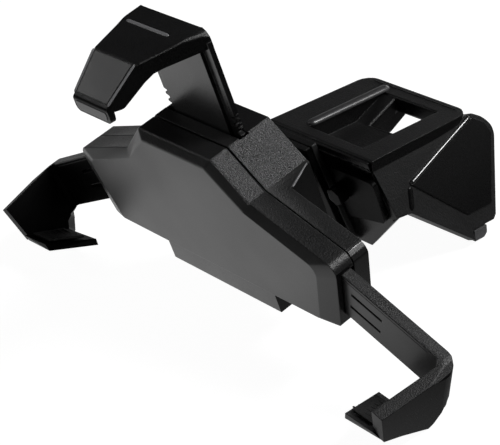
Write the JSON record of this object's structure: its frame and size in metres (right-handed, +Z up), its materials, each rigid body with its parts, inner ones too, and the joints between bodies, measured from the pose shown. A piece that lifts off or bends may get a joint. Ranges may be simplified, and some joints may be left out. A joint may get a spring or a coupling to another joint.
{
  "type": "dashboard phone holder",
  "caption": "Phone holder with a top hook and two side arms that a phone's weight closes through racks and pinions, on a ball joint and a pitched bracket.",
  "frame": {"origin": "centre of the underside of the bracket's front pad, where the holder is stuck to the dashboard", "axes": "+X to the cradle's right seen from the driver, +Y back behind the cradle, +Z up along the cradle's front face"},
  "size_m": [0.1642, 0.0901, 0.0853],
  "materials": {
    "black_plastic": "satin gloss",
    "dark_plastic": "matte",
    "rubber": "matte",
    "zinc_steel": "zinc plated",
    "spring_steel": "bright wire",
    "white_acetal": "satin",
    "pale_rubber": "translucent grey"
  },
  "bodies": {
    "bracket": {"base_bracket": "black_plastic", "right_foot_pad": "pale_rubber", "left_foot_pad": "pale_rubber", "front_pad": "pale_rubber", "block_seat": "black_plastic", "mount_block": "black_plastic", "ball_stud": "zinc_steel"},
    "lever": {"lever_plate": "black_plastic", "lever_nut": "zinc_steel"},
    "liner": {"socket_liner": "rubber"},
    "ball_seat": {"pressure_cup": "white_acetal"},
    "cradle": {"front_shell": "black_plastic", "rear_shell": "black_plastic", "case_screw_1": "zinc_steel", "case_screw_2": "zinc_steel", "case_screw_3": "zinc_steel", "case_screw_4": "zinc_steel", "socket_cup": "dark_plastic", "right_pinion_pin": "zinc_steel", "left_pinion_pin": "zinc_steel", "right_spring": "spring_steel", "left_spring": "spring_steel"},
    "collar": {"collar_nut": "dark_plastic"},
    "hook": {"hook_arm": "black_plastic", "hook_pad": "rubber"},
    "right_arm": {"right_arm": "black_plastic", "right_shelf_pad": "rubber"},
    "left_arm": {"left_arm": "black_plastic", "left_shelf_pad": "rubber"},
    "right_pinion": {"right_pinion": "white_acetal"},
    "left_pinion": {"left_pinion": "white_acetal"}
  },
  "joints": [
    {"name": "lever_turn", "type": "hinge", "parent": "bracket", "child": "lever", "pos_m": [0.007, -0.00724, 0.01983], "axis": [0, -1, 0], "range_deg": [0, 25]},
    {"name": "ball_pan", "type": "hinge", "parent": "bracket", "child": "liner", "pos_m": [-0.0078, -0.01774, 0.02313], "axis": [0, 0, 1], "range_deg": [-15, 15]},
    {"name": "ball_tilt", "type": "hinge", "parent": "liner", "child": "ball_seat", "pos_m": [-0.0078, -0.01774, 0.02313], "axis": [1, 0, 0], "range_deg": [-15, 15]},
    {"name": "ball_roll", "type": "hinge", "parent": "ball_seat", "child": "cradle", "pos_m": [-0.0078, -0.01774, 0.02313], "axis": [0, 1, 0], "continuous": true},
    {"name": "collar_turn", "type": "hinge", "parent": "cradle", "child": "collar", "pos_m": [-0.0078, -0.01774, 0.02313], "axis": [0, 1, 0], "range_deg": [0, 60]},
    {"name": "hook_slide", "type": "slide", "parent": "cradle", "child": "hook", "axis": [0, 0, -1], "range_m": [0, 0.014], "stiffness_N_per_m": 60, "springref_m": -0.01, "deforming": ["right_spring", "left_spring"]},
    {"name": "right_arm_slide", "type": "slide", "parent": "cradle", "child": "right_arm", "axis": [0.9026, 0, -0.4305], "range_m": [0, 0.014]},
    {"name": "left_arm_slide", "type": "slide", "parent": "cradle", "child": "left_arm", "axis": [-0.9026, 0, -0.4305], "range_m": [0, 0.014]},
    {"name": "right_pinion_turn", "type": "hinge", "parent": "cradle", "child": "right_pinion", "pos_m": [0.01149, -0.03143, 0.03613], "axis": [0, -1, 0], "range_deg": [0, 143.44]},
    {"name": "left_pinion_turn", "type": "hinge", "parent": "cradle", "child": "left_pinion", "pos_m": [-0.02709, -0.03143, 0.03613], "axis": [0, 1, 0], "range_deg": [0, 143.44]}
  ],
  "couplings": [
    {"joint": "right_arm_slide", "follows": "hook_slide", "ratio": 1},
    {"joint": "left_arm_slide", "follows": "hook_slide", "ratio": 1},
    {"joint": "right_pinion_turn", "follows": "hook_slide", "rad_per_m": 178.57},
    {"joint": "left_pinion_turn", "follows": "hook_slide", "rad_per_m": 178.57}
  ]
}
